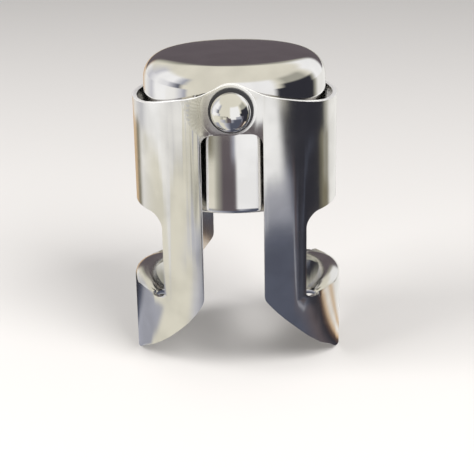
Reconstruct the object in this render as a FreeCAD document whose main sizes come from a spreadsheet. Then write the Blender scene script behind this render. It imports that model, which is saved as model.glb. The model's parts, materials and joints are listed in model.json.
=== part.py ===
import FreeCAD, Part
import math
import os
import re

import Sketcher

# Champagne stopper: a sprung seal in a steel sleeve under a domed cap, held on the
# bottle by two hinged arms stamped from sheet. Millimetres, +Z up, origin on the
# ground under the middle. The pivots lie along Y, and the front faces -Y.

vec = FreeCAD.Vector
doc = FreeCAD.newDocument("champagne_stopper")
sheet = doc.addObject("Spreadsheet::Sheet", "Sizes")

# Driving dimensions. Gaps, insets and rises are measured from the piece beside them.
SIZES = {
    # Arms
    "pivot_height": 51.1,
    "arm_radius": 19.1,
    "arm_sheet": 0.8,
    "ear_radius": 4.45,
    "ear_proud": 0.1,
    "ear_flat_radius": 6.3,
    "ear_blend_depth": 3.0,
    "ear_blend_rounding": 2.5,
    "ear_spacing": 0.1,
    "rim_slope": 25.0,
    "rim_bend_across": 6.0,
    "rim_bend_rounding": 14.0,
    "rim_side_inset": 1.9,
    "rim_side_drop": 0.8,
    "rim_side_rounding": 14.0,
    "slot_half_width": 5.5,
    "slot_corner_rounding": 2.1,
    "slot_foot_rise": 1.6,
    "slot_foot_rounding": 2.0,
    "tongue_foot_run": 0.7,
    "foot_half_width": 4.5,
    "foot_rounding": 6.0,
    "tongue_side_inset": 6.1,
    "tongue_side_rise": 5.2,
    "window_side_inset": 5.3,
    "window_height": 16.4,
    "window_top_rounding": 2.7,
    # Hooks
    "hook_offset": 0.9,
    "band_tightening": 1.1,
    "band_height": 14.1,
    "band_shoulder_height": 2.9,
    "band_shoulder_taper": 0.8,
    "notch_rounding": 0.95,
    "lip_half_angle": 41.0,
    "lip_rise": 2.5,
    "lip_bend": 2.2,
    "lip_depth": 3.6,
    # Pivots
    "rivet_radius": 1.6,
    "rivet_clearance": 0.05,
    "ball_radius": 3.5,
    "ball_stand_off": 0.65,
    "washer_radius": 3.95,
    "washer_thickness": 0.4,
    "layer_gap": 0.05,
    "bush_radius": 2.6,
    "backing_radius": 3.0,
    "backing_thickness": 0.5,
    "tail_radius": 2.4,
    "tail_thickness": 0.8,
    # Sleeve
    "sleeve_gap": 3.0,
    "sleeve_wall": 0.7,
    "sleeve_drop": 19.4,
    "mouth_wall": 0.5,
    "mouth_depth": 2.8,
    "ceiling_rise": 4.4,
    "ceiling_rounding": 2.0,
    "well_radius": 5.5,
    "well_depth": 4.0,
    "well_rounding": 0.9,
    # Cap
    "cap_gap": 1.25,
    "cap_wall": 0.8,
    "cap_rim_rise": 1.0,
    "cap_side_height": 5.4,
    "crown_rise": 0.9,
    "cap_crown_across": 6.0,
    "cap_shoulder_rounding": 4.2,
    "cap_crown_blend": 4.472,
    "cap_notch_clearance": 0.2,
    "insert_well_gap": 1.5,
    "insert_inset": 4.55,
    "insert_clearance": 0.15,
    # Plunger and seal
    "plate_thickness": 1.2,
    "plate_clearance": 0.08,
    "stem_radius": 2.0,
    "stem_clearance": 0.08,
    "stem_overrun": 1.2,
    "groove_depth": 0.4,
    "ring_radius": 3.6,
    "ring_thickness": 0.7,
    "seal_mouth_gap": 0.2,
    "seal_thickness": 2.6,
    "seal_clearance": 0.35,
    "seal_rounding": 0.6,
    "screw_head_radius": 2.8,
    "screw_head_height": 1.0,
    "screw_radius": 1.2,
    "screw_length": 6.0,
    "screw_clearance": 0.1,
    # Spring
    "wire_radius": 0.6,
    "coil_inset": 5.6,
    "coil_turns": 5.0,
    "coil_gap": 0.05,
}

# Places and radii that follow from them
PLACES = {
    "hook_reach": "arm_radius + hook_offset",
    "band_radius": "arm_radius - band_tightening",
    "lip_inner_reach": "hook_reach - lip_depth",
    "rim_side_across": "arm_radius - rim_side_inset",
    "tongue_foot_across": "arm_radius + tongue_foot_run",
    "tongue_side_across": "arm_radius - tongue_side_inset",
    "slot_foot_height": "band_height + slot_foot_rise",
    "window_half_width": "arm_radius - window_side_inset",
    "window_top_height": "band_height + window_height",
    "sleeve_radius": "arm_radius - arm_sheet - sleeve_gap",
    "sleeve_foot_height": "pivot_height - sleeve_drop",
    "ceiling_height": "pivot_height + ceiling_rise",
    "cap_radius": "arm_radius - arm_sheet - cap_gap",
    "cap_rim_height": "pivot_height + cap_rim_rise",
    "cap_shoulder_height": "cap_rim_height + cap_side_height",
    "cap_crown_height": "cap_shoulder_height + crown_rise",
    "cap_crown_rounding": "cap_crown_blend / tan(atan(crown_rise / (cap_radius - cap_crown_across)) / 2)",
    "insert_inner_radius": "well_radius + insert_well_gap",
    "insert_outer_radius": "cap_radius - insert_inset",
    "seal_face_height": "sleeve_foot_height + mouth_depth + seal_mouth_gap",
    "coil_radius": "sleeve_radius - sleeve_wall - coil_inset",
}

ENTRIES = [(alias, str(number)) for alias, number in SIZES.items()]
ENTRIES += [(alias, "=" + text) for alias, text in PLACES.items()]
for row, (alias, entry) in enumerate(ENTRIES, start=1):
    sheet.set("A%d" % row, alias)
    sheet.set("B%d" % row, entry)
    sheet.setAlias("B%d" % row, alias)
doc.recompute()

NAMES = sorted(dict(ENTRIES), key=len, reverse=True)
WORD = re.compile(r"\b(" + "|".join(NAMES) + r")\b")


def bound(text):
    """The expression with each size's name pointed at the sheet."""
    return WORD.sub(r"Sizes.\1", text)


def value(text):
    """The number that an expression in the sheet's sizes gives."""
    return float(sheet.evalExpression(text))


def tie(thing, **rules):
    """Bind properties to expressions in the sheet's sizes."""
    for name, text in rules.items():
        thing.setExpression(name.replace("__", "."), bound(text))


def new_body(name):
    body = doc.addObject("PartDesign::Body", name)
    body.Label = name
    return body


def new_sketch(body, role, name):
    """A sketch on one of the body's own origin planes."""
    sketch = body.newObject("Sketcher::SketchObject", name)
    plane = next(each for each in body.Origin.OriginFeatures if each.Role == role)
    sketch.AttachmentSupport = [(plane, "")]
    sketch.MapMode = "FlatFace"
    return sketch


def direction(start, end):
    length = math.hypot(end[0] - start[0], end[1] - start[1])
    return ((end[0] - start[0]) / length, (end[1] - start[1]) / length)


def draw_outline(sketch, corners):
    """A closed outline through corners (across, up, rounding), all expressions.

    A rounding of None leaves the corner sharp. The corner points stay in the sketch as
    construction points, so every size is tied to the sheet.
    """
    points = [(value(across), value(up)) for across, up, _ in corners]
    radii = [None if rounding is None else value(rounding) for _, _, rounding in corners]
    count = len(corners)
    starts, ends = [], []
    for here in range(count):
        back = direction(points[here], points[here - 1])
        ahead = direction(points[here], points[(here + 1) % count])
        if radii[here] is None:
            starts.append(points[here])
            ends.append(points[here])
            continue
        half_turn = math.acos(max(-1.0, min(1.0, back[0] * ahead[0] + back[1] * ahead[1]))) / 2
        reach = radii[here] / math.tan(half_turn)
        ends.append((points[here][0] + back[0] * reach, points[here][1] + back[1] * reach))
        starts.append((points[here][0] + ahead[0] * reach, points[here][1] + ahead[1] * reach))
    lines = []
    for here in range(count):
        there = (here + 1) % count
        line = Part.LineSegment(vec(*starts[here], 0), vec(*ends[there], 0))
        lines.append(sketch.addGeometry(line, False))
    for here in range(count):
        before = lines[here - 1]
        after = lines[here]
        if radii[here] is None:
            sketch.addConstraint(Sketcher.Constraint("Coincident", before, 2, after, 1))
            place_point(sketch, after, 1, corners[here], points[here])
            continue
        shape, arc_start, arc_end = rounding_arc(ends[here], points[here], starts[here], radii[here])
        arc = sketch.addGeometry(shape, False)
        sketch.addConstraint(Sketcher.Constraint("Tangent", before, 2, arc, arc_start))
        sketch.addConstraint(Sketcher.Constraint("Tangent", arc, arc_end, after, 1))
        radius = sketch.addConstraint(Sketcher.Constraint("Radius", arc, radii[here]))
        sketch.setExpression("Constraints[%d]" % radius, bound(corners[here][2]))
        corner = sketch.addGeometry(Part.Point(vec(*points[here], 0)), True)
        sketch.addConstraint(Sketcher.Constraint("PointOnObject", corner, 1, before))
        sketch.addConstraint(Sketcher.Constraint("PointOnObject", corner, 1, after))
        place_point(sketch, corner, 1, corners[here], points[here])


def place_point(sketch, geometry, end, corner, point):
    for kind, text, number in (("DistanceX", corner[0], point[0]), ("DistanceY", corner[1], point[1])):
        index = sketch.addConstraint(Sketcher.Constraint(kind, -1, 1, geometry, end, number))
        sketch.setExpression("Constraints[%d]" % index, bound(text))


def draw_axis(sketch, start, end):
    """A construction line between two points (across, up), to turn a profile about."""
    points = [(value(across), value(up)) for across, up in (start, end)]
    line = sketch.addGeometry(Part.LineSegment(vec(*points[0], 0), vec(*points[1], 0)), True)
    place_point(sketch, line, 1, start, points[0])
    place_point(sketch, line, 2, end, points[1])


def rounding_arc(first, corner, last, radius):
    """The arc tangent to both edges of a corner, with the end numbers of first and last."""
    middle = ((first[0] + last[0]) / 2, (first[1] + last[1]) / 2)
    away = direction(corner, middle)
    reach = math.hypot(first[0] - corner[0], first[1] - corner[1])
    centre_distance = math.hypot(radius, reach)
    centre = (corner[0] + away[0] * centre_distance, corner[1] + away[1] * centre_distance)
    circle = Part.Circle(vec(*centre, 0), vec(0, 0, 1), radius)
    first_angle = math.atan2(first[1] - centre[1], first[0] - centre[0])
    last_angle = math.atan2(last[1] - centre[1], last[0] - centre[0])
    if (last_angle - first_angle) % math.tau < math.pi:
        return Part.ArcOfCircle(circle, first_angle, last_angle), 1, 2
    return Part.ArcOfCircle(circle, last_angle, first_angle), 2, 1


def turn(body, name, corners):
    """A turned form: an outline (radius, height) spun about the body's Z axis."""
    sketch = new_sketch(body, "XZ_Plane", name + "_profile")
    draw_outline(sketch, corners)
    feature = body.newObject("PartDesign::Revolution", name)
    feature.Profile = sketch
    feature.ReferenceAxis = (sketch, ["V_Axis"])
    feature.Angle = 360
    return feature


def cut_through(body, role, name, outlines):
    """Cut closed outlines straight through the body, both ways from an origin plane."""
    sketch = new_sketch(body, role, name + "_outline")
    for corners in outlines:
        draw_outline(sketch, corners)
    feature = body.newObject("PartDesign::Pocket", name)
    feature.Profile = sketch
    feature.Type = "ThroughAll"
    feature.Midplane = True
    return feature


def drill_across(body, name, radius, height):
    """A round hole through the body along Y."""
    sketch = new_sketch(body, "XZ_Plane", name + "_circle")
    circle = Part.Circle(vec(0, value(height), 0), vec(0, 0, 1), value(radius))
    index = sketch.addGeometry(circle, False)
    sketch.addConstraint(Sketcher.Constraint("PointOnObject", index, 3, -2))
    up = sketch.addConstraint(Sketcher.Constraint("DistanceY", -1, 1, index, 3, value(height)))
    sketch.setExpression("Constraints[%d]" % up, bound(height))
    size = sketch.addConstraint(Sketcher.Constraint("Radius", index, value(radius)))
    sketch.setExpression("Constraints[%d]" % size, bound(radius))
    feature = body.newObject("PartDesign::Pocket", name)
    feature.Profile = sketch
    feature.Type = "ThroughAll"
    feature.Midplane = True
    return feature


def cylinder(body, kind, name, radius, low, high, across="0", along="y"):
    """A cylinder added to or cut from the body, along Z, or along Y at the pivot."""
    feature = body.newObject("PartDesign::%sCylinder" % kind, name)
    tie(feature, Radius=radius, Height="(%s) - (%s)" % (high, low))
    if along == "z":
        tie(feature, Placement__Base__x=across, Placement__Base__z=low)
    else:
        feature.Placement = FreeCAD.Placement(vec(0, 0, 0), FreeCAD.Rotation(vec(1, 0, 0), -90))
        tie(feature, Placement__Base__x=across, Placement__Base__y=low, Placement__Base__z="pivot_height")
    return feature


# Where the sheet layers stand at a pivot, as distances from the middle
outer_ear_face = "(arm_radius + ear_proud)"
outer_ear_back = "(%s - arm_sheet)" % outer_ear_face
inner_ear_face = "(%s - ear_spacing)" % outer_ear_back
inner_ear_back = "(%s - arm_sheet)" % inner_ear_face
arm_bore = "(arm_radius - arm_sheet)"
ear_top = "(pivot_height + 2 * ear_radius)"
pivot_hole = "(rivet_radius + rivet_clearance)"
beyond = "(3 * arm_radius)"


def ear_boss(body, name, operation, face, flat_radius, rounding):
    """The round flat that is pressed outward about the outer ear's pivot."""
    sketch = new_sketch(body, "YZ_Plane", name + "_profile")
    foot = "(-(%s) + ear_blend_depth)" % face
    draw_outline(sketch, [
        ("-(%s)" % face, "pivot_height", None),
        ("-(%s)" % face, "pivot_height + (%s)" % flat_radius, rounding),
        (foot, "pivot_height + (%s) + ear_blend_depth" % flat_radius, None),
        (foot, "pivot_height", None),
    ])
    draw_axis(sketch, ("0", "pivot_height"), ("-(%s)" % face, "pivot_height"))
    feature = body.newObject("PartDesign::" + operation, name)
    feature.Profile = sketch
    feature.ReferenceAxis = (sketch, ["Axis0"])
    feature.Angle = 360
    return feature


def make_arm(name, half_turns):
    """One stamped arm: outer ear in front, inner ear at the back, hook at -X."""
    body = new_body(name)
    band_across = "-(hook_reach - band_radius)"
    band_bore = "(band_radius - arm_sheet)"
    rim_bend_height = "pivot_height + ear_radius / cos(rim_slope) - rim_bend_across * tan(rim_slope)"

    cylinder(body, "Additive", name + "_round", "arm_radius", "0", ear_top, along="z")
    cylinder(body, "Additive", name + "_band", "band_radius", "0", "band_height", band_across, "z")
    shoulder = body.newObject("PartDesign::AdditiveCone", name + "_shoulder")
    tie(shoulder, Radius1="band_radius", Radius2="band_radius - band_shoulder_taper",
        Height="band_shoulder_height", Placement__Base__x=band_across, Placement__Base__z="band_height")
    ear_boss(body, name + "_boss", "Revolution", outer_ear_face, "ear_flat_radius", "ear_blend_rounding")
    back = body.newObject("PartDesign::SubtractiveBox", name + "_back_flat")
    tie(back, Length="2 * arm_radius", Width="arm_radius", Height=ear_top,
        Placement__Base__x="-arm_radius", Placement__Base__y=inner_ear_face)

    cylinder(body, "Subtractive", name + "_bore", arm_bore, "0", ear_top, along="z")
    cylinder(body, "Subtractive", name + "_band_bore", band_bore, "0", "band_height", band_across, "z")
    hollow = body.newObject("PartDesign::SubtractiveCone", name + "_shoulder_bore")
    tie(hollow, Radius1=band_bore, Radius2=band_bore + " - band_shoulder_taper",
        Height="band_shoulder_height", Placement__Base__x=band_across, Placement__Base__z="band_height")
    inner_flat_radius = "(ear_flat_radius - arm_sheet * tan(22.5))"
    inner_rounding = "(ear_blend_rounding - arm_sheet)"
    ear_boss(body, name + "_boss_bore", "Groove", outer_ear_back, inner_flat_radius, inner_rounding)
    plate = body.newObject("PartDesign::AdditiveBox", name + "_back_plate")
    plate_half = "sqrt(pow(%s + arm_sheet / 10; 2) - pow(%s; 2))" % (arm_bore, inner_ear_back)
    tie(plate, Length="2 * " + plate_half, Width="arm_sheet", Height=ear_top,
        Placement__Base__x="-" + plate_half, Placement__Base__y=inner_ear_back)

    keep = [
        ("-ear_radius * sin(rim_slope)", "pivot_height + ear_radius * cos(rim_slope)", None),
        ("0", "pivot_height", None),
        ("0", "pivot_height - ear_radius", None),
        ("-slot_half_width", "pivot_height - ear_radius", "slot_corner_rounding"),
        ("-slot_half_width", "slot_foot_height", "slot_foot_rounding"),
        ("-tongue_foot_across", "0", None),
        ("-2 * arm_radius", "0", None),
        ("-2 * arm_radius", "pivot_height - rim_side_drop", None),
        ("-rim_side_across", "pivot_height - rim_side_drop", "rim_side_rounding"),
        ("-rim_bend_across", rim_bend_height, "rim_bend_rounding"),
    ]
    frame = [
        ("-" + beyond, "-arm_radius", None),
        (beyond, "-arm_radius", None),
        (beyond, "2 * pivot_height", None),
        ("-" + beyond, "2 * pivot_height", None),
    ]
    cut_through(body, "XZ_Plane", name + "_trim", [frame, keep])

    slope = "tongue_side_rise / (tongue_side_across - foot_half_width)"
    far_rise = "(%s - foot_half_width) * %s" % (beyond, slope)
    tongue = [
        ("-foot_half_width", "0", "foot_rounding"),
        ("foot_half_width", "0", "foot_rounding"),
        (beyond, far_rise, None),
        (beyond, "-arm_radius", None),
        ("-" + beyond, "-arm_radius", None),
        ("-" + beyond, far_rise, None),
    ]
    cut_through(body, "YZ_Plane", name + "_tongue", [tongue])
    window = [
        ("-window_half_width", "window_top_height", "window_top_rounding"),
        ("window_half_width", "window_top_height", "window_top_rounding"),
        ("window_half_width", "band_height", "notch_rounding"),
        ("-window_half_width", "band_height", "notch_rounding"),
    ]
    cut_through(body, "YZ_Plane", name + "_window", [window])

    # The hook: the band's upper edge turned inward, between the two relief notches
    lip = new_sketch(body, "XZ_Plane", name + "_lip_profile")
    draw_outline(lip, [
        ("-hook_reach", "band_height", None),
        ("-hook_reach", "band_height + lip_rise", "lip_bend"),
        ("-lip_inner_reach", "band_height + lip_rise", None),
        ("-lip_inner_reach", "band_height + lip_rise - arm_sheet", None),
        ("-hook_reach + arm_sheet", "band_height + lip_rise - arm_sheet", "lip_bend - arm_sheet"),
        ("-hook_reach + arm_sheet", "band_height", None),
    ])
    draw_axis(lip, (band_across, "0"), (band_across, "band_height"))
    hook = body.newObject("PartDesign::Revolution", name + "_lip")
    hook.Profile = lip
    hook.ReferenceAxis = (lip, ["Axis0"])
    hook.Midplane = True
    tie(hook, Angle="2 * lip_half_angle")

    cylinder(body, "Additive", name + "_outer_ear", "ear_radius", "-" + outer_ear_face, "-" + outer_ear_back)
    cylinder(body, "Additive", name + "_inner_ear", "ear_radius", inner_ear_back, inner_ear_face)
    drill_across(body, name + "_pivot_hole", pivot_hole, "pivot_height")
    body.Placement = FreeCAD.Placement(vec(0, 0, 0), FreeCAD.Rotation(vec(0, 0, 1), 180 * half_turns))
    return body


left_arm = make_arm("left_arm", 0)
right_arm = make_arm("right_arm", 1)

# Sleeve: a drawn cup, open below, with a well in its ceiling for the stem's end. Its mouth
# is a little wider than the bore, so that the bottle's lip finds its way in to the seal.
sleeve_bore = "(sleeve_radius - sleeve_wall)"
ceiling_under = "(ceiling_height - sleeve_wall)"
well_floor = "(ceiling_height - well_depth)"
stem_hole = "(stem_radius + stem_clearance)"
sleeve = new_body("sleeve")
turn(sleeve, "sleeve_cup", [
    ("sleeve_radius", "sleeve_foot_height", None),
    ("sleeve_radius", "ceiling_height", "ceiling_rounding"),
    ("well_radius", "ceiling_height", "well_rounding"),
    ("well_radius", well_floor, None),
    (stem_hole, well_floor, None),
    (stem_hole, well_floor + " - sleeve_wall", None),
    ("well_radius + sleeve_wall", well_floor + " - sleeve_wall", "well_rounding"),
    ("well_radius + sleeve_wall", ceiling_under, None),
    (sleeve_bore, ceiling_under, "ceiling_rounding - sleeve_wall"),
    (sleeve_bore, "sleeve_foot_height + mouth_depth", None),
    ("sleeve_radius - mouth_wall", "sleeve_foot_height + mouth_depth", None),
    ("sleeve_radius - mouth_wall", "sleeve_foot_height", None),
])
drill_across(sleeve, "sleeve_rivet_holes", pivot_hole, "pivot_height")

# Cap: a drawn button with a full shoulder, notched for the bushes behind the ears
crown_under = "(cap_crown_height - cap_wall)"
cap = new_body("cap")
turn(cap, "cap_shell", [
    ("cap_radius", "cap_rim_height", None),
    ("cap_radius", "cap_shoulder_height", "cap_shoulder_rounding"),
    ("cap_crown_across", "cap_crown_height", "cap_crown_rounding"),
    ("0", "cap_crown_height", None),
    ("0", crown_under, None),
    ("cap_crown_across", crown_under, "cap_crown_rounding - cap_wall"),
    ("cap_radius - cap_wall", "cap_shoulder_height - cap_wall", "cap_shoulder_rounding - cap_wall"),
    ("cap_radius - cap_wall", "cap_rim_height", None),
])
notch_half = "(bush_radius + cap_notch_clearance)"
cut_through(cap, "XZ_Plane", "cap_notches", [[
    ("-" + notch_half, "cap_rim_height - bush_radius", None),
    (notch_half, "cap_rim_height - bush_radius", None),
    (notch_half, "pivot_height + " + notch_half, "bush_radius / 2"),
    ("-" + notch_half, "pivot_height + " + notch_half, "bush_radius / 2"),
]])

# Insert: the moulded ring that the cap is pressed on, seated on the sleeve's ceiling
crown_run = "(cap_radius - cap_wall - cap_crown_across)"
crown_fall = "(cap_crown_height - cap_shoulder_height) / %s" % crown_run
cap_insert = new_body("cap_insert")


def under_crown(radius):
    return "%s - insert_clearance - (%s - cap_crown_across) * %s" % (crown_under, radius, crown_fall)


turn(cap_insert, "insert_ring", [
    ("insert_inner_radius", "ceiling_height", None),
    ("insert_outer_radius", "ceiling_height", None),
    ("insert_outer_radius", under_crown("insert_outer_radius"), None),
    ("insert_inner_radius", under_crown("insert_inner_radius"), None),
])

# Plunger: a guide plate with the stem that runs through the well's floor
plate_under = "(seal_face_height + seal_thickness)"
plate_top = "(%s + plate_thickness)" % plate_under
ring_low = "(%s + layer_gap)" % well_floor
ring_high = "(%s + ring_thickness)" % ring_low
groove_radius = "(stem_radius - groove_depth)"
screw_hole = "(screw_radius + screw_clearance)"
screw_seat = "(seal_face_height + seal_thickness / 2)"
screw_end = "(%s + screw_length)" % screw_seat
plunger = new_body("plunger")
turn(plunger, "plunger_turned", [
    (screw_hole, plate_under, None),
    (sleeve_bore + " - plate_clearance", plate_under, None),
    (sleeve_bore + " - plate_clearance", plate_top, None),
    ("stem_radius", plate_top, "stem_radius / 2"),
    ("stem_radius", ring_low, None),
    (groove_radius, ring_low, None),
    (groove_radius, ring_high, None),
    ("stem_radius", ring_high, None),
    ("stem_radius", ring_high + " + stem_overrun", "groove_depth"),
    ("0", ring_high + " + stem_overrun", None),
    ("0", screw_end + " + screw_clearance", None),
    (screw_hole, screw_end + " + screw_clearance", None),
])

# Seal: the rubber disc that closes the bottle's mouth, with a recess for its screw
seal = new_body("seal")
turn(seal, "seal_disc", [
    ("screw_head_radius + screw_clearance", "seal_face_height", None),
    (sleeve_bore + " - seal_clearance", "seal_face_height", "seal_rounding"),
    (sleeve_bore + " - seal_clearance", plate_under, None),
    (screw_hole, plate_under, None),
    (screw_hole, screw_seat, None),
    ("screw_head_radius + screw_clearance", screw_seat, None),
])

seal_screw = new_body("seal_screw")
turn(seal_screw, "screw_turned", [
    ("0", screw_seat + " - screw_head_height", None),
    ("screw_head_radius", screw_seat + " - screw_head_height", "screw_head_height / 2"),
    ("screw_head_radius", screw_seat, None),
    ("screw_radius", screw_seat, None),
    ("screw_radius", screw_end, None),
    ("0", screw_end, None),
])

retaining_ring = new_body("retaining_ring")
turn(retaining_ring, "ring_turned", [
    (groove_radius, ring_low, None),
    ("ring_radius", ring_low, None),
    ("ring_radius", ring_high, None),
    (groove_radius, ring_high, None),
])

# Spring: round wire between the plate and the ceiling, clear of the well
coil_low = "(%s + wire_radius + coil_gap)" % plate_top
coil_high = "(%s - wire_radius - coil_gap)" % ceiling_under
coil = doc.addObject("Part::Helix", "spring_path")
tie(coil, Radius="coil_radius", Height="%s - %s" % (coil_high, coil_low),
    Pitch="(%s - %s) / coil_turns" % (coil_high, coil_low), Placement__Base__z=coil_low)
wire = doc.addObject("Part::Circle", "spring_wire")
wire.Placement = FreeCAD.Placement(vec(0, 0, 0), FreeCAD.Rotation(vec(1, 0, 0), 90))
tie(wire, Radius="wire_radius", Placement__Base__x="coil_radius", Placement__Base__z=coil_low)
spring = doc.addObject("Part::Sweep", "spring")
spring.Label = "spring"
spring.Sections = [wire]
spring.Spine = (coil, ["Edge1"])
spring.Solid = True
spring.Frenet = True

# The two pivots: each piece is turned about its own Z, which is laid along Y
washer_inner = "(%s + layer_gap)" % outer_ear_face
washer_outer = "(%s + washer_thickness)" % washer_inner
bush_inner = "(sleeve_radius + layer_gap)"
bush_outer = "(%s - layer_gap)" % inner_ear_back
backing_outer = "(sqrt(pow(%s; 2) - pow(backing_radius; 2)) - layer_gap)" % sleeve_bore
backing_inner = "(%s - backing_thickness)" % backing_outer
tail_end = "(%s - tail_thickness)" % backing_inner


def ring_at_pivot(name, radius, near, far):
    body = new_body(name)
    turn(body, name + "_turned", [
        (pivot_hole, near, None),
        (radius, near, None),
        (radius, far, None),
        (pivot_hole, far, None),
    ])
    return body


def rivet(name):
    body = new_body(name)
    ball = body.newObject("PartDesign::AdditiveSphere", name + "_ball")
    tie(ball, Radius="ball_radius", Angle1="-asin(ball_stand_off / ball_radius)",
        Placement__Base__z="%s + ball_stand_off" % washer_outer)
    for part, radius, low, high in (
            ("shank", "rivet_radius", tail_end, washer_outer),
            ("tail", "tail_radius", tail_end, backing_inner)):
        feature = body.newObject("PartDesign::AdditiveCylinder", name + "_" + part)
        tie(feature, Radius=radius, Height="(%s) - (%s)" % (high, low), Placement__Base__z=low)
    return body


pivot_pieces = []
for side, half_turns in (("front", 0), ("rear", 1)):
    pieces = [
        rivet(side + "_rivet"),
        ring_at_pivot(side + "_washer", "washer_radius", washer_inner, washer_outer),
        ring_at_pivot(side + "_bush", "bush_radius", bush_inner, bush_outer),
        ring_at_pivot(side + "_backing_washer", "backing_radius", backing_inner, backing_outer),
    ]
    lay_down = FreeCAD.Rotation(vec(1, 0, 0), 90)
    face_round = FreeCAD.Rotation(vec(0, 0, 1), 180 * half_turns)
    for piece in pieces:
        piece.Placement = FreeCAD.Placement(vec(0, 0, 0), face_round.multiply(lay_down))
        tie(piece, Placement__Base__z="pivot_height")
    pivot_pieces += pieces

doc.recompute()

sub_parts = [left_arm, right_arm, sleeve, cap, cap_insert, plunger, seal, seal_screw,
             retaining_ring, spring] + pivot_pieces

for thing in doc.Objects:
    if "Invalid" in thing.State or "Error" in thing.State:
        raise RuntimeError("%s did not compute: %s" % (thing.Name, thing.State))
for piece in sub_parts:
    if piece.Shape.isNull() or not piece.Shape.isValid() or len(piece.Shape.Solids) != 1:
        raise RuntimeError("%s is not one valid solid" % piece.Label)

os.makedirs("parts", exist_ok=True)
for piece in sub_parts:
    piece.Shape.exportStep("parts/%s.step" % piece.Label)
    box = piece.Shape.BoundBox
    print("%-22s %8.1f mm3  x %6.2f..%6.2f  y %6.2f..%6.2f  z %6.2f..%6.2f" % (
        piece.Label, piece.Shape.Volume, box.XMin, box.XMax, box.YMin, box.YMax, box.ZMin, box.ZMax))
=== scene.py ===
import json
import math

import bpy
from mathutils import Matrix, Vector

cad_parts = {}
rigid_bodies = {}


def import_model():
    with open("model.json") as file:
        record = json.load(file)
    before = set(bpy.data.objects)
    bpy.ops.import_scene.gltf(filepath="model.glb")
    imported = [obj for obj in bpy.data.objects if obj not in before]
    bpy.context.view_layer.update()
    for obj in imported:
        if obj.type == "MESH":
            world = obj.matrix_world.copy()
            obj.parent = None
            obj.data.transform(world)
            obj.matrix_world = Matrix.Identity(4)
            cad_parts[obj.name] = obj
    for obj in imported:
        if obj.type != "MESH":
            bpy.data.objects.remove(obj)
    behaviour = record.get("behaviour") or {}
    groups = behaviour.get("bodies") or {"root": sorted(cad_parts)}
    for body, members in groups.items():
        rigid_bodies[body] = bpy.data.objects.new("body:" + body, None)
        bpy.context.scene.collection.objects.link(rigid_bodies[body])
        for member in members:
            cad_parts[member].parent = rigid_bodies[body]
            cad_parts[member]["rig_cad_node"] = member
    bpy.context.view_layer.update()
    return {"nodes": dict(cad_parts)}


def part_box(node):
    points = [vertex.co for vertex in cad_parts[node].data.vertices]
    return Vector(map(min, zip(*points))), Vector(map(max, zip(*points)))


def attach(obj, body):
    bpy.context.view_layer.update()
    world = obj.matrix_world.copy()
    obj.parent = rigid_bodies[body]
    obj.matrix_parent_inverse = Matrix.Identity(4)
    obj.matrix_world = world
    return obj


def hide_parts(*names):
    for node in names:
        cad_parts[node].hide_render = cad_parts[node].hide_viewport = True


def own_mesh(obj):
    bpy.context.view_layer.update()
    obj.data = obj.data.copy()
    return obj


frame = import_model()

# Places and sizes, in metres
MM = 0.001
EDGE_RADIUS = 0.2 * MM
PIVOT_HEIGHT = (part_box("front_rivet")[0].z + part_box("front_rivet")[1].z) / 2
CROWN_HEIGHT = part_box("cap")[1].z
CUP_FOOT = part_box("sleeve")[0].z
SLEEVE_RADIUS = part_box("sleeve")[1].x

# The drawn cup round the sleeve
CUP_RADIUS = 17.3 * MM
CUP_SHOULDER_RADIUS = 16.95 * MM
CUP_WALL = 0.6 * MM
SHOULDER_ROUNDING = 4.4 * MM
CROWN_SHARE = 0.35
CROWN_DROP = 0.9 * MM
FOOT_CURL = 0.7 * MM

# The arms' cut lower edge, and how far the real one lies below the straight cut (across, drop)
SLOT_FOOT_HEIGHT = 15.7 * MM
SLOT_HALF_WIDTH = 5.5 * MM
FOOT_ACROSS = 19.8 * MM
OUTER_EAR_DROPS = ((5.5, 0.5), (6.5, 1.3), (8.5, 1.75), (10.5, 1.65), (12.5, 1.4), (14.7, 0.8), (17.5, 0.0))
INNER_EAR_DROPS = ((5.5, 0.15), (7.4, 0.5), (9.3, 0.5), (13.2, 0.35), (17.0, 0.0))
LIP_HEIGHT = 14.9 * MM
LIP_TOP = 17.5 * MM
LIP_INNER_REACH = 9.0 * MM
LIP_HALF_WIDTH = 12.6 * MM
LIP_HINGE = 19.4 * MM
LIP_TILT = math.radians(22)

# The outer ear, pressed out to a flat that runs smoothly into the arm's round
ARM_RADIUS = 19.1 * MM
EAR_FACE = 19.2 * MM
EAR_FLAT_RADIUS = 6.3 * MM
EAR_ROUNDING = 2.5 * MM
EAR_BLEND = (3.6 * MM, 10.5 * MM)
EAR_FOOT = (41.5 * MM, 47.5 * MM)

# The camera, seen from the pivots' height
CAMERA_DISTANCE = 222.7 * MM
CAMERA_RISE = 48.0 * MM
CAMERA_AZIMUTH = math.radians(2.037)
CAMERA_PITCH = math.radians(19.24)
CAMERA_ROLL = math.radians(-0.979)
CAMERA_LENS = 91.84
SENSOR_WIDTH = 36.0


def deselect_all():
    for each in bpy.context.selected_objects:
        each.select_set(False)


def select_only(piece):
    deselect_all()
    piece.select_set(True)
    bpy.context.view_layer.objects.active = piece


def apply_modifier(piece, name):
    select_only(piece)
    bpy.ops.object.modifier_apply(modifier=name)


def smooth(piece, degrees):
    select_only(piece)
    bpy.ops.object.shade_smooth_by_angle(angle=math.radians(degrees))


def edit(piece, kind="VERT"):
    select_only(piece)
    bpy.ops.object.mode_set(mode="EDIT")
    bpy.ops.mesh.select_mode(type=kind)
    bpy.ops.mesh.select_all(action="DESELECT")
    bpy.ops.object.mode_set(mode="OBJECT")


def pick_vertices(piece, test):
    """Select the vertices whose place passes the test, and say how many there are."""
    edit(piece)
    picked = 0
    for vertex in piece.data.vertices:
        vertex.select = test(vertex.co)
        picked += vertex.select
    bpy.ops.object.mode_set(mode="EDIT")
    return picked


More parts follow.
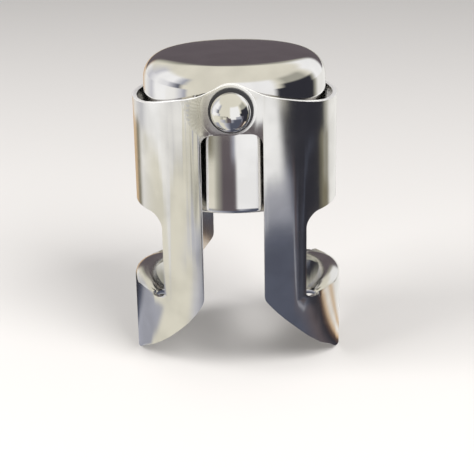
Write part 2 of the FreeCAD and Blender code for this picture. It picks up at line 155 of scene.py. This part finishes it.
def object_mode():
    bpy.ops.object.mode_set(mode="OBJECT")


def merged_copy(node, name):
    """A copy of a CAD node with its loose triangles joined, ready to be worked on."""
    source = frame["nodes"][node]
    piece = source.copy()
    piece.data = source.data.copy()
    piece.name = name
    piece.parent = None
    piece.matrix_world = Matrix.Identity(4)
    del piece["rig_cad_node"]
    bpy.context.scene.collection.objects.link(piece)
    select_only(piece)
    bpy.ops.object.mode_set(mode="EDIT")
    bpy.ops.mesh.select_all(action="SELECT")
    bpy.ops.mesh.remove_doubles(threshold=0.01 * MM)
    object_mode()
    return piece


def mark_cut_faces(piece):
    """Give the sheet's sheared edges the second material, a whitened steel that is partly painted highlight,
    and leave the lip's top out.
    """
    for face in piece.data.polygons:
        place = face.center
        outward = Vector((place.x, place.y, 0)).normalized()
        flat_ear = abs(face.normal.y) > 0.9 and abs(place.y) > 16 * MM
        lip = abs(place.y) < 13 * MM and 13 * MM < place.z < 18.5 * MM and abs(place.x) > 11 * MM
        boss = abs(place.x) < 9 * MM and abs(face.normal.y) > 0.5
        if abs(face.normal.dot(outward)) < 0.35 and not (flat_ear or lip or boss):
            face.material_index = 1


def break_edges(piece, width):
    """Round the cut edges, as tumbling does on a stamping."""
    bevel = piece.modifiers.new("broken_edges", "BEVEL")
    bevel.width = width
    bevel.segments = 3
    bevel.limit_method = "ANGLE"
    bevel.angle_limit = math.radians(35)
    # The rounded edges also get the whitened steel: partly the sheared metal's own look, partly a painted
    # highlight
    bevel.material = 1
    apply_modifier(piece, bevel.name)
    smooth(piece, 40)


def wear(piece, material):
    piece.data.materials.clear()
    piece.data.materials.append(material)


def finish_piece(piece, material, slot_name, body, *nodes):
    wear(piece, material)
    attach(piece, body)
    if nodes:
        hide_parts(*nodes)


# Effects that several materials share
def new_group(name, inputs, outputs):
    group = bpy.data.node_groups.new(name, "ShaderNodeTree")
    for label, kind, default in inputs:
        socket = group.interface.new_socket(name=label, in_out="INPUT", socket_type=kind)
        if default is not None:
            socket.default_value = default
    for label, kind in outputs:
        group.interface.new_socket(name=label, in_out="OUTPUT", socket_type=kind)
    entry = group.nodes.new("NodeGroupInput")
    leave = group.nodes.new("NodeGroupOutput")
    return group, entry, leave


def add(tree, kind, **settings):
    node = tree.nodes.new("ShaderNode" + kind)
    for name, setting in settings.items():
        setattr(node, name, setting)
    return node


def math_node(tree, operation, first, second=None, third=None):
    node = add(tree, "Math", operation=operation)
    for socket, given in zip(node.inputs, (first, second, third)):
        if given is None:
            continue
        if isinstance(given, (int, float)):
            socket.default_value = given
        else:
            tree.links.new(given, socket)
    return node.outputs[0]


def spread(tree, source, low, high, to_low, to_high):
    node = add(tree, "MapRange", interpolation_type="SMOOTHSTEP")
    tree.links.new(source, node.inputs["Value"])
    for label, number in (("From Min", low), ("From Max", high), ("To Min", to_low), ("To Max", to_high)):
        node.inputs[label].default_value = number
    return node.outputs["Result"]


def make_brushed_lines():
    """Fine lines that run round the piece, with long soft changes along them."""
    group, entry, leave = new_group(
        "brushed_lines",
        [("Along", "NodeSocketFloat", 90.0), ("Across", "NodeSocketFloat", 9000.0)],
        [("Lines", "NodeSocketFloat"), ("Patches", "NodeSocketFloat")])
    place = add(group, "TexCoord").outputs["Object"]
    stretch = add(group, "CombineXYZ")
    for axis, label in zip("XYZ", ("Along", "Along", "Across")):
        group.links.new(entry.outputs[label], stretch.inputs[axis])
    scaled = add(group, "VectorMath", operation="MULTIPLY")
    group.links.new(place, scaled.inputs[0])
    group.links.new(stretch.outputs[0], scaled.inputs[1])
    lines = add(group, "TexNoise")
    lines.inputs["Scale"].default_value = 1.0
    lines.inputs["Detail"].default_value = 3.0
    lines.inputs["Roughness"].default_value = 0.6
    group.links.new(scaled.outputs[0], lines.inputs["Vector"])
    patches = add(group, "TexNoise")
    patches.inputs["Scale"].default_value = 140.0
    patches.inputs["Detail"].default_value = 2.0
    group.links.new(place, patches.inputs["Vector"])
    group.links.new(lines.outputs["Fac"], leave.inputs["Lines"])
    group.links.new(patches.outputs["Fac"], leave.inputs["Patches"])
    return group


def make_handling_marks():
    """Sparse hairline scratches and faint smudges."""
    group, entry, leave = new_group(
        "handling_marks",
        [("Scale", "NodeSocketFloat", 300.0)],
        [("Scratches", "NodeSocketFloat"), ("Smudges", "NodeSocketFloat")])
    place = add(group, "TexCoord").outputs["Object"]
    waver = add(group, "TexNoise")
    waver.inputs["Scale"].default_value = 60.0
    group.links.new(place, waver.inputs["Vector"])
    bent = add(group, "VectorMath", operation="MULTIPLY_ADD")
    group.links.new(waver.outputs["Color"], bent.inputs[0])
    bent.inputs[1].default_value = (0.004, 0.004, 0.004)
    group.links.new(place, bent.inputs[2])
    cells = add(group, "TexVoronoi", feature="DISTANCE_TO_EDGE")
    group.links.new(bent.outputs[0], cells.inputs["Vector"])
    group.links.new(entry.outputs["Scale"], cells.inputs["Scale"])
    hairlines = spread(group, cells.outputs["Distance"], 0.0, 0.02, 1.0, 0.0)
    chance = add(group, "TexNoise")
    chance.inputs["Scale"].default_value = 500.0
    group.links.new(place, chance.inputs["Vector"])
    some = spread(group, chance.outputs["Fac"], 0.58, 0.66, 0.0, 1.0)
    scratches = math_node(group, "MULTIPLY", hairlines, some)
    smudges = add(group, "TexNoise")
    smudges.inputs["Scale"].default_value = 90.0
    smudges.inputs["Detail"].default_value = 4.0
    group.links.new(place, smudges.inputs["Vector"])
    group.links.new(scratches, leave.inputs["Scratches"])
    group.links.new(spread(group, smudges.outputs["Fac"], 0.4, 0.7, 0.0, 1.0), leave.inputs["Smudges"])
    return group


def make_fine_grain():
    """Even grain for moulded plastic and rubber."""
    group, entry, leave = new_group(
        "fine_grain", [("Scale", "NodeSocketFloat", 4000.0)],
        [("Grain", "NodeSocketFloat"), ("Mottle", "NodeSocketFloat")])
    place = add(group, "TexCoord").outputs["Object"]
    for label, factor in (("Grain", 1.0), ("Mottle", 0.06)):
        noise = add(group, "TexNoise")
        noise.inputs["Detail"].default_value = 3.0
        group.links.new(place, noise.inputs["Vector"])
        group.links.new(math_node(group, "MULTIPLY", entry.outputs["Scale"], factor), noise.inputs["Scale"])
        group.links.new(noise.outputs["Fac"], leave.inputs[label])
    return group


BRUSHED_LINES = make_brushed_lines()
HANDLING_MARKS = make_handling_marks()
FINE_GRAIN = make_fine_grain()


def start_material(name):
    material = bpy.data.materials.new(name)
    material.use_nodes = True
    return material, material.node_tree, material.node_tree.nodes["Principled BSDF"]


def place_group(tree, group, **numbers):
    node = add(tree, "Group", node_tree=group)
    for label, number in numbers.items():
        node.inputs[label].default_value = number
    return node


def two_tones(tree, factor, low_tone, high_tone):
    ramp = add(tree, "ValToRGB")
    ramp.color_ramp.elements[0].color = (*low_tone, 1)
    ramp.color_ramp.elements[1].color = (*high_tone, 1)
    tree.links.new(factor, ramp.inputs["Fac"])
    return ramp.outputs["Color"]


def raise_surface(tree, shader, height, distance, strength=1.0):
    bump = add(tree, "Bump")
    bump.inputs["Distance"].default_value = distance
    bump.inputs["Strength"].default_value = strength
    tree.links.new(height, bump.inputs["Height"])
    tree.links.new(bump.outputs["Normal"], shader.inputs["Normal"])


def steel(name, low_tone, high_tone, roughness, line_depth, marks, metallic=1.0):
    """Stainless steel: brushed lines, patches in the polish, hairline marks and smudges."""
    material, tree, shader = start_material(name)
    lines = place_group(tree, BRUSHED_LINES)
    marked = place_group(tree, HANDLING_MARKS)
    tree.links.new(two_tones(tree, spread(tree, lines.outputs["Patches"], 0.35, 0.65, 0.0, 1.0),
                             low_tone, high_tone), shader.inputs["Base Color"])
    grain = math_node(tree, "MULTIPLY_ADD", lines.outputs["Lines"], roughness * 0.5, roughness * 0.75)
    smudged = math_node(tree, "MULTIPLY_ADD", marked.outputs["Smudges"], marks * 0.05, grain)
    worn = math_node(tree, "MULTIPLY_ADD", marked.outputs["Scratches"], marks * 0.2, smudged)
    tree.links.new(worn, shader.inputs["Roughness"])
    shader.inputs["Metallic"].default_value = metallic
    deep = math_node(tree, "MULTIPLY_ADD", marked.outputs["Scratches"], -0.5 * marks, lines.outputs["Lines"])
    raise_surface(tree, shader, deep, line_depth)
    return material


def moulded(name, low_tone, high_tone, roughness, grain_scale, grain_depth, sheen=0.0):
    """Moulded plastic or rubber: a slight mottle in its tone and an even grain."""
    material, tree, shader = start_material(name)
    grain = place_group(tree, FINE_GRAIN, Scale=grain_scale)
    tree.links.new(two_tones(tree, grain.outputs["Mottle"], low_tone, high_tone), shader.inputs["Base Color"])
    rough = math_node(tree, "MULTIPLY_ADD", grain.outputs["Grain"], 0.2, roughness - 0.1)
    tree.links.new(rough, shader.inputs["Roughness"])
    shader.inputs["Sheen Weight"].default_value = sheen
    raise_surface(tree, shader, grain.outputs["Grain"], grain_depth)
    return material


satin_steel = steel("satin_steel", (0.74, 0.73, 0.71), (0.84, 0.83, 0.81), 0.15, 0.0000012, 0.5)
polished_steel = steel("polished_steel", (0.78, 0.77, 0.76), (0.86, 0.85, 0.84), 0.07, 0.0000003, 0.3)
bright_steel = steel("bright_steel", (0.82, 0.81, 0.79), (0.88, 0.87, 0.86), 0.035, 0.0000001, 0.2)
# Whitened, less metallic steel for cut edges: partly the rougher sheared metal, partly a painted highlight
sheared_steel_painted_highlight = steel("sheared_steel_painted_highlight", (0.92, 0.91, 0.89), (0.97, 0.96, 0.95), 0.3, 0.000002, 0.3, 0.4)
spring_steel = steel("spring_steel", (0.62, 0.61, 0.60), (0.72, 0.71, 0.70), 0.18, 0.000001, 0.6)
dark_nylon = moulded("dark_nylon", (0.018, 0.018, 0.02), (0.03, 0.03, 0.033), 0.45, 5000.0, 0.00001)
white_plastic = moulded("white_plastic", (0.74, 0.74, 0.71), (0.8, 0.8, 0.78), 0.4, 3500.0, 0.00001)
black_rubber = moulded("black_rubber", (0.02, 0.02, 0.02), (0.035, 0.035, 0.035), 0.65, 6000.0, 0.00002, 0.15)


# Arms: stampings with broken edges, a bowed lower cut and a lip that rises inward
def drop_at(table, across):
    """The drop between two of the table's places, and none past the last."""
    if across <= table[0][0] * MM:
        return table[0][1] * MM
    for (near, near_drop), (far, far_drop) in zip(table, table[1:]):
        if across <= far * MM:
            share = (across - near * MM) / ((far - near) * MM)
            return (near_drop + share * (far_drop - near_drop)) * MM
    return 0.0


def bow_lower_edge(piece, outer_ear_side):
    """Lower the cut's edge towards its middle, more on the outer ear's side."""
    slope = SLOT_FOOT_HEIGHT / (FOOT_ACROSS - SLOT_HALF_WIDTH)
    for vertex in piece.data.vertices:
        across = abs(vertex.co.x)
        cut_height = (FOOT_ACROSS - across) * slope
        if abs(vertex.co.z - cut_height) > 0.5 * MM or across < SLOT_HALF_WIDTH - 0.1 * MM:
            continue
        table = OUTER_EAR_DROPS if vertex.co.y * outer_ear_side > 0 else INNER_EAR_DROPS
        vertex.co.z -= drop_at(table, across)


def ease(number, low, high):
    share = min(max((number - low) / (high - low), 0.0), 1.0)
    return share * share * (3 - 2 * share)


def pressed_ear(across, height):
    """How far out the solid's ear stands, at a place (across, height) on the arm."""
    reach = math.hypot(across, height - PIVOT_HEIGHT)
    tangent = EAR_ROUNDING * math.tan(math.radians(22.5))
    start = EAR_FLAT_RADIUS - tangent
    if reach <= start:
        face = EAR_FACE
    elif reach <= start + EAR_ROUNDING * math.sin(math.radians(45)):
        face = EAR_FACE - EAR_ROUNDING + math.sqrt(EAR_ROUNDING ** 2 - (reach - start) ** 2)
    else:
        face = EAR_FACE - (reach - EAR_FLAT_RADIUS)
    return max(face, math.sqrt(max(ARM_RADIUS ** 2 - across ** 2, 0.0)))


def blended_ear(across, height):
    """How far out the real ear stands there: a flat that eases into the round."""
    round_face = math.sqrt(max(ARM_RADIUS ** 2 - across ** 2, 0.0))
    share = ease(abs(across), *EAR_BLEND)
    blended = EAR_FACE * (1 - share) + round_face * share
    return round_face + (blended - round_face) * ease(height, *EAR_FOOT)


def soften_ear(piece, outer_ear_side):
    """Divide the ear's faces finely and ease its pressed step into the arm's round."""
    edit(piece, "FACE")
    for face in piece.data.polygons:
        place = face.center
        face.select = (place.y * outer_ear_side > 15 * MM and place.z > EAR_FOOT[0]
                       and abs(place.x) < EAR_BLEND[1])
    bpy.ops.object.mode_set(mode="EDIT")
    bpy.ops.mesh.subdivide(number_cuts=3)
    bpy.ops.mesh.subdivide(number_cuts=1)
    object_mode()
    for vertex in piece.data.vertices:
        across, height = vertex.co.x, vertex.co.z
        if vertex.co.y * outer_ear_side < 15 * MM or height < EAR_FOOT[0] or abs(across) > EAR_BLEND[1]:
            continue
        shift = blended_ear(across, height) - pressed_ear(across, height)
        vertex.co.y += outer_ear_side * shift


def tilt_lip(piece, side):
    """Turn the lip up about its bend, so that it rises towards the middle."""
    pick_vertices(piece, lambda place: LIP_HEIGHT < place.z < LIP_TOP
                  and abs(place.x) > LIP_INNER_REACH and abs(place.y) < LIP_HALF_WIDTH)
    bpy.ops.transform.rotate(value=side * LIP_TILT, orient_axis="Y", orient_type="GLOBAL",
                             center_override=(side * LIP_HINGE, 0, LIP_HEIGHT))
    object_mode()


for node, side in (("left_arm", -1), ("right_arm", 1)):
    arm = merged_copy(node, node + "_stamping")
    bow_lower_edge(arm, side)
    tilt_lip(arm, side)
    soften_ear(arm, side)
    arm.data.materials.clear()
    arm.data.materials.append(satin_steel)
    arm.data.materials.append(sheared_steel_painted_highlight)
    mark_cut_faces(arm)
    break_edges(arm, EDGE_RADIUS)
    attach(arm, node)
    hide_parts(node)


# Cup: drawn in one from the crown to a foot that is curled in against the sleeve
def cup_profile():
    crown_edge = CROWN_SHARE * CUP_SHOULDER_RADIUS
    corner = Vector((CUP_SHOULDER_RADIUS, CROWN_HEIGHT - CROWN_DROP))
    crown = Vector((crown_edge, CROWN_HEIGHT))
    fall = (corner - crown).normalized()
    turn_angle = math.pi / 2 - math.atan2(-fall.y, fall.x)
    reach = SHOULDER_ROUNDING * math.tan(turn_angle / 2)
    arc_start = corner - fall * reach
    centre = arc_start + Vector((fall.y, -fall.x)) * SHOULDER_ROUNDING
    rings = [(crown_edge * share, CROWN_HEIGHT - 0.03 * MM * share ** 2) for share in (0.35, 0.7)]
    rings += [(crown_edge + (arc_start.x - crown_edge) * share,
               CROWN_HEIGHT - 0.03 * MM + (arc_start.y - CROWN_HEIGHT + 0.03 * MM) * share ** 1.25)
              for share in (0.0, 0.25, 0.5, 0.75, 1.0)]
    first = math.atan2(arc_start.y - centre.y, arc_start.x - centre.x)
    steps = 12
    for step in range(1, steps + 1):
        angle = first - turn_angle * step / steps
        rings.append((centre.x + SHOULDER_ROUNDING * math.cos(angle),
                      centre.y + SHOULDER_ROUNDING * math.sin(angle)))
    wall_top = rings[-1][1]
    rings += [(CUP_SHOULDER_RADIUS + (CUP_RADIUS - CUP_SHOULDER_RADIUS) * share,
               wall_top + (CUP_FOOT + FOOT_CURL - wall_top) * share)
              for share in (0.02, 0.04, 0.5, 0.96, 0.98, 1.0)]
    for step in range(1, 6):
        angle = math.radians(18 * step)
        rings.append((CUP_RADIUS - FOOT_CURL + FOOT_CURL * math.cos(angle),
                      CUP_FOOT + FOOT_CURL - FOOT_CURL * math.sin(angle)))
    rings.append((SLEEVE_RADIUS + 0.02 * MM, CUP_FOOT))
    return rings


def ring_piece(name, rings, vertices):
    """A round form: a filled circle that is extruded and scaled from ring to ring."""
    deselect_all()
    radius, height = rings[0]
    bpy.ops.mesh.primitive_circle_add(vertices=vertices, radius=radius, fill_type="NGON",
                                      location=(0, 0, height))
    piece = bpy.context.object
    piece.name = name
    bpy.ops.object.transform_apply(location=True, rotation=True, scale=True)
    bpy.ops.object.mode_set(mode="EDIT")
    bpy.ops.mesh.select_mode(type="EDGE")
    bpy.ops.mesh.select_all(action="SELECT")
    for next_radius, next_height in rings[1:]:
        bpy.ops.mesh.extrude_edges_move(TRANSFORM_OT_translate={"value": (0, 0, next_height - height)})
        bpy.ops.transform.resize(value=(next_radius / radius, next_radius / radius, 1),
                                 center_override=(0, 0, next_height))
        radius, height = next_radius, next_height
    object_mode()
    return piece


cup = ring_piece("cup_shell", cup_profile(), 192)
select_only(cup)
bpy.ops.object.mode_set(mode="EDIT")
bpy.ops.mesh.select_all(action="SELECT")
bpy.ops.mesh.normals_make_consistent(inside=False)
object_mode()
wall = cup.modifiers.new("wall", "SOLIDIFY")
wall.thickness = CUP_WALL
wall.offset = -1
apply_modifier(cup, wall.name)
smooth(cup, 50)
finish_piece(cup, polished_steel, "satin_steel", "core", "cap")

# Spring: a merged copy of the coil, in spring steel, on the core
spring = merged_copy("spring", "spring_coil")
finish_piece(spring, spring_steel, "polished_steel", "core", "spring")
smooth(spring, 40)
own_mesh(spring)

# The nodes whose shape stays
FINISHES = {
    polished_steel: ("sleeve", "seal_screw", "cap"),
    bright_steel: ("front_rivet", "rear_rivet"),
    spring_steel: ("front_backing_washer", "rear_backing_washer", "retaining_ring", "spring"),
    satin_steel: ("left_arm", "right_arm"),
    dark_nylon: ("cap_insert", "front_washer", "rear_washer", "front_bush", "rear_bush"),
    white_plastic: ("plunger",),
    black_rubber: ("seal",),
}
for material, names in FINISHES.items():
    for name in names:
        node = frame["nodes"][name]
        node.data.materials.clear()
        node.data.materials.append(material)
        smooth(node, 40)


# Stage: a plain pale floor. For glossy rays the floor and the world show broad soft tones instead, a painted
# reflection that the metals mirror.
def azimuth_ramp(tree, source, stops):
    """Tones round the object by bearing in degrees: 0 in front, 90 to its right."""
    radial = add(tree, "TexGradient", gradient_type="RADIAL")
    tree.links.new(source, radial.inputs["Vector"])
    ramp = add(tree, "ValToRGB")
    tree.links.new(radial.outputs["Fac"], ramp.inputs["Fac"])
    turned = sorted(((bearing / 360 + 0.25) % 1.0, tone) for bearing, tone in stops)
    seam = tuple((a + b) / 2 for a, b in zip(turned[0][1], turned[-1][1]))
    turned = [(0.0, seam)] + turned + [(1.0, seam)]
    elements = ramp.color_ramp.elements
    while len(elements) < len(turned):
        elements.new(0.5)
    for element, (place, tone) in zip(elements, turned):
        element.position = place
    for element, (place, tone) in zip(elements, turned):
        element.color = (*tone, 1)
    return ramp.outputs["Color"]


def blend_tones(tree, factor, first, second):
    node = add(tree, "Mix", data_type="RGBA")
    tree.links.new(factor, node.inputs[0])
    tree.links.new(first, node.inputs[6])
    tree.links.new(second, node.inputs[7])
    return node.outputs[2]


# Tones of the painted reflections that the metals see in the floor and the world
CREAM = (0.80, 0.77, 0.66)
PALE = (0.92, 0.91, 0.88)
WHITE = (1.0, 1.0, 1.0)
MIST = (0.62, 0.62, 0.66)
LAVENDER = (0.40, 0.41, 0.47)
SLATE = (0.10, 0.11, 0.15)
MAUVE = (0.13, 0.11, 0.12)
DARK = (0.035, 0.035, 0.045)
TAN = (0.68, 0.49, 0.31)
BROWN = (0.12, 0.075, 0.06)
OLIVE = (0.22, 0.20, 0.14)
STONE = (0.42, 0.41, 0.35)

# Bearings and tones of the painted reflection in the floor, in rings that end at the distance given (from,
# to)
FLOOR_REFLECTION_RINGS = [
    (0, 0, [(-178, STONE), (-150, DARK), (-125, DARK), (-112, SLATE), (-102, LAVENDER), (-72, LAVENDER),
            (-66, CREAM), (-40, CREAM), (-30, MIST), (-20, LAVENDER), (0, SLATE), (50, SLATE), (68, MAUVE),
            (80, DARK), (86, BROWN), (90, TAN), (98, PALE), (106, TAN), (116, PALE), (150, PALE),
            (165, STONE)]),
    (58, 72, [(-178, STONE), (-168, TAN), (-143, TAN), (-139, OLIVE), (-132, OLIVE), (-124, PALE),
              (-100, CREAM), (-60, CREAM), (-44, MIST), (-30, LAVENDER), (-22, STONE), (-13, MAUVE),
              (2, MAUVE), (7, LAVENDER), (20, SLATE), (60, SLATE), (62, MIST), (64, SLATE), (74, DARK),
              (104, DARK), (112, OLIVE), (124, OLIVE), (130, PALE), (160, PALE), (172, STONE)]),
    (95, 122, [(-178, STONE), (-168, TAN), (-143, TAN), (-139, OLIVE), (-132, OLIVE), (-124, PALE),
               (-100, CREAM), (-60, CREAM), (-40, STONE), (-36, CREAM), (-24, CREAM), (-20, STONE),
               (-13, MAUVE), (1, MAUVE), (4, WHITE), (26, WHITE), (31, LAVENDER), (56, LAVENDER),
               (64, SLATE), (67, BROWN), (70, SLATE), (76, DARK), (104, DARK), (112, OLIVE), (118, STONE),
               (122, OLIVE), (128, PALE), (160, PALE), (172, STONE)]),
    (180, 196, [(-178, STONE), (-168, TAN), (-143, TAN), (-139, OLIVE), (-132, OLIVE), (-124, PALE),
                (-114, CREAM), (-104, PALE), (-92, PALE), (-80, CREAM), (-36, STONE), (-28, OLIVE),
                (-22, STONE), (-13, MAUVE), (-5, MAUVE), (0, LAVENDER), (3, WHITE), (48, WHITE),
                (56, LAVENDER), (62, SLATE), (67, BROWN), (70, DARK), (80, SLATE), (104, DARK),
                (112, OLIVE), (118, STONE), (122, OLIVE), (128, PALE), (160, PALE), (172, STONE)]),
    (240, 250, [(-178, STONE), (-160, TAN), (-142, PALE), (-122, MIST), (-112, WHITE), (-92, WHITE),
                (-76, PALE), (-66, MIST), (-61, LAVENDER), (-56, CREAM), (-6, CREAM), (3, WHITE),
                (50, WHITE), (57, DARK), (114, DARK), (121, STONE), (128, PALE), (160, PALE), (172, STONE)]),
]
# Painted reflection in the world by bearing, near the horizon and higher up, seen by glossy rays only
LOW_SKY_REFLECTION = [(-174, MAUVE), (-164, BROWN), (-158, TAN), (-148, PALE), (-132, MIST), (-112, WHITE), (-86, MIST),
           (-72, SLATE), (-64, CREAM), (-6, CREAM), (2, WHITE), (50, WHITE), (58, CREAM), (68, DARK),
           (112, DARK), (118, STONE), (126, WHITE), (158, WHITE), (166, STONE), (174, MAUVE)]
HIGH_SKY_REFLECTION = [(-174, MAUVE), (-160, STONE), (-150, CREAM), (-124, MIST), (-112, WHITE), (-84, WHITE),
            (-68, LAVENDER), (-58, CREAM), (-6, CREAM), (2, WHITE), (50, WHITE), (60, CREAM), (72, STONE),
            (104, STONE), (116, CREAM), (128, WHITE), (158, WHITE), (168, STONE)]

deselect_all()
bpy.ops.mesh.primitive_plane_add(size=6, location=(0, 0, 0))
floor = bpy.context.object
floor.name = "floor"
floor_material, tree, shader = start_material("pale_floor_painted_reflection")
shader.inputs["Base Color"].default_value = (0.62, 0.60, 0.58, 1)
shader.inputs["Roughness"].default_value = 0.8
place = add(tree, "TexCoord").outputs["Object"]
distance = add(tree, "VectorMath", operation="LENGTH")
tree.links.new(place, distance.inputs[0])
tones = azimuth_ramp(tree, place, FLOOR_REFLECTION_RINGS[0][2])
for ring_start, ring_end, stops in FLOOR_REFLECTION_RINGS[1:]:
    share = spread(tree, distance.outputs["Value"], ring_start * MM, ring_end * MM, 0.0, 1.0)
    tones = blend_tones(tree, share, tones, azimuth_ramp(tree, place, stops))
# For glossy rays only, the floor glows in these tones as a painted reflection; all other rays see the plain
# floor
painted_reflection_tone = add(tree, "Emission")
tree.links.new(tones, painted_reflection_tone.inputs["Color"])
seen_by_metal = add(tree, "MixShader")
tree.links.new(add(tree, "LightPath").outputs["Is Glossy Ray"], seen_by_metal.inputs["Fac"])
tree.links.new(shader.outputs[0], seen_by_metal.inputs[1])
tree.links.new(painted_reflection_tone.outputs[0], seen_by_metal.inputs[2])
tree.links.new(seen_by_metal.outputs[0], tree.nodes["Material Output"].inputs["Surface"])
floor.data.materials.append(floor_material)

world = bpy.data.worlds.new("painted_reflection_studio")
bpy.context.scene.world = world
world.use_nodes = True
tree = world.node_tree
plain = tree.nodes["Background"]
plain.inputs["Color"].default_value = (0.86, 0.86, 0.88, 1)
plain.inputs["Strength"].default_value = 0.55
direction = add(tree, "TexCoord").outputs["Generated"]
parts = add(tree, "SeparateXYZ")
tree.links.new(direction, parts.inputs[0])
level = parts.outputs["Z"]
low_tones = azimuth_ramp(tree, direction, LOW_SKY_REFLECTION)
high_tones = azimuth_ramp(tree, direction, HIGH_SKY_REFLECTION)
# A cream tone overhead and a dark mauve tone behind, both part of the painted reflection
over_tone = add(tree, "RGB")
over_tone.outputs[0].default_value = (*CREAM, 1)
back_tone = add(tree, "RGB")
back_tone.outputs[0].default_value = (*MAUVE, 1)
tones = blend_tones(tree, spread(tree, level, 0.2, 0.32, 0.0, 1.0), low_tones, high_tones)
tones = blend_tones(tree, spread(tree, level, 0.55, 0.72, 0.0, 1.0), tones, over_tone.outputs[0])
behind = math_node(tree, "MULTIPLY", spread(tree, parts.outputs["Y"], 0.85, 0.92, 0.0, 1.0),
                   spread(tree, level, 0.42, 0.5, 1.0, 0.0))
tones = blend_tones(tree, behind, tones, back_tone.outputs[0])
painted_reflection_studio = add(tree, "Background")
tree.links.new(tones, painted_reflection_studio.inputs["Color"])
# Glossy rays see the painted reflection, all other rays the plain tone
choice = add(tree, "MixShader")
tree.links.new(add(tree, "LightPath").outputs["Is Glossy Ray"], choice.inputs["Fac"])
tree.links.new(plain.outputs[0], choice.inputs[1])
tree.links.new(painted_reflection_studio.outputs[0], choice.inputs[2])
tree.links.new(choice.outputs[0], tree.nodes["World Output"].inputs["Surface"])


def softbox(name, place, aim, width, height, power):
    lamp = bpy.data.lights.new(name, "AREA")
    lamp.shape = "RECTANGLE"
    lamp.size, lamp.size_y = width, height
    lamp.energy = power
    holder = bpy.data.objects.new(name, lamp)
    bpy.context.scene.collection.objects.link(holder)
    holder.location = place
    holder.rotation_euler = (Vector(aim) - Vector(place)).to_track_quat("-Z", "Y").to_euler()
    holder.visible_glossy = False
    return holder


middle = Vector((0, 0, PIVOT_HEIGHT * 0.6))
softbox("key", (0.35, -0.4, 0.5), middle, 0.4, 0.4, 6)
softbox("fill", (-0.5, -0.2, 0.4), middle, 0.4, 0.4, 4)

camera_data = bpy.data.cameras.new("camera")
camera = bpy.data.objects.new("camera", camera_data)
bpy.context.scene.collection.objects.link(camera)
camera_data.lens = CAMERA_LENS
camera_data.sensor_width = SENSOR_WIDTH
forward = Vector((-math.sin(CAMERA_AZIMUTH) * math.cos(CAMERA_PITCH),
                  math.cos(CAMERA_AZIMUTH) * math.cos(CAMERA_PITCH), -math.sin(CAMERA_PITCH)))
level = Vector((math.cos(CAMERA_AZIMUTH), math.sin(CAMERA_AZIMUTH), 0))
upright = level.cross(forward)
right = math.cos(CAMERA_ROLL) * level + math.sin(CAMERA_ROLL) * upright
up = -math.sin(CAMERA_ROLL) * level + math.cos(CAMERA_ROLL) * upright
camera.matrix_world = Matrix((right, up, -forward)).transposed().to_4x4()
camera.location = (CAMERA_DISTANCE * math.sin(CAMERA_AZIMUTH), -CAMERA_DISTANCE * math.cos(CAMERA_AZIMUTH),
                   PIVOT_HEIGHT + CAMERA_RISE)
bpy.context.scene.camera = camera
bpy.context.scene.view_settings.view_transform = "Standard"
